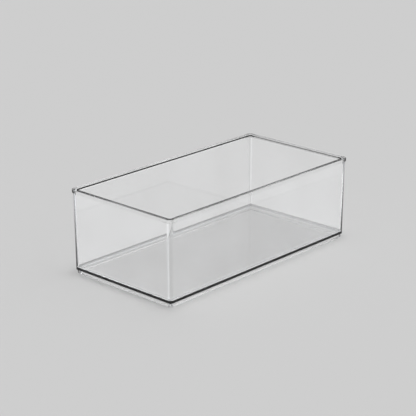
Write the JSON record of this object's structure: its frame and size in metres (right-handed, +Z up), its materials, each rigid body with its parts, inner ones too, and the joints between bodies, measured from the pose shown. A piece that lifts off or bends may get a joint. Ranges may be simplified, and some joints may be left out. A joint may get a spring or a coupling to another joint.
{
  "type": "storage bin",
  "caption": "Clear open-topped rectangular drawer organizer bin with straight walls, a lipped rim, rounded corners and a low foot ring.",
  "frame": {"origin": "centre of the bin's footprint, on the surface that its foot stands on", "axes": "+X along the length, -Y towards the long front wall, +Z up through the open mouth"},
  "size_m": [0.1524, 0.0778, 0.0502],
  "materials": {
    "clear_floor": "clear moulded plastic, polished, with a faint grey tint seen end on",
    "clear_wall": "clear moulded plastic, polished on both faces",
    "clear_corner": "clear moulded plastic, polished, rounded",
    "clear_rim": "clear moulded plastic, polished, with rounded edges",
    "clear_foot": "clear moulded plastic, polished, with rounded lower edges"
  },
  "bodies": {
    "root": {"floor_panel": "clear_floor", "front_wall": "clear_wall", "rear_wall": "clear_wall", "left_wall": "clear_wall", "right_wall": "clear_wall", "corner_front_left": "clear_corner", "corner_front_right": "clear_corner", "corner_rear_left": "clear_corner", "corner_rear_right": "clear_corner", "rim_frame": "clear_rim", "foot_frame": "clear_foot"}
  },
  "joints": []
}
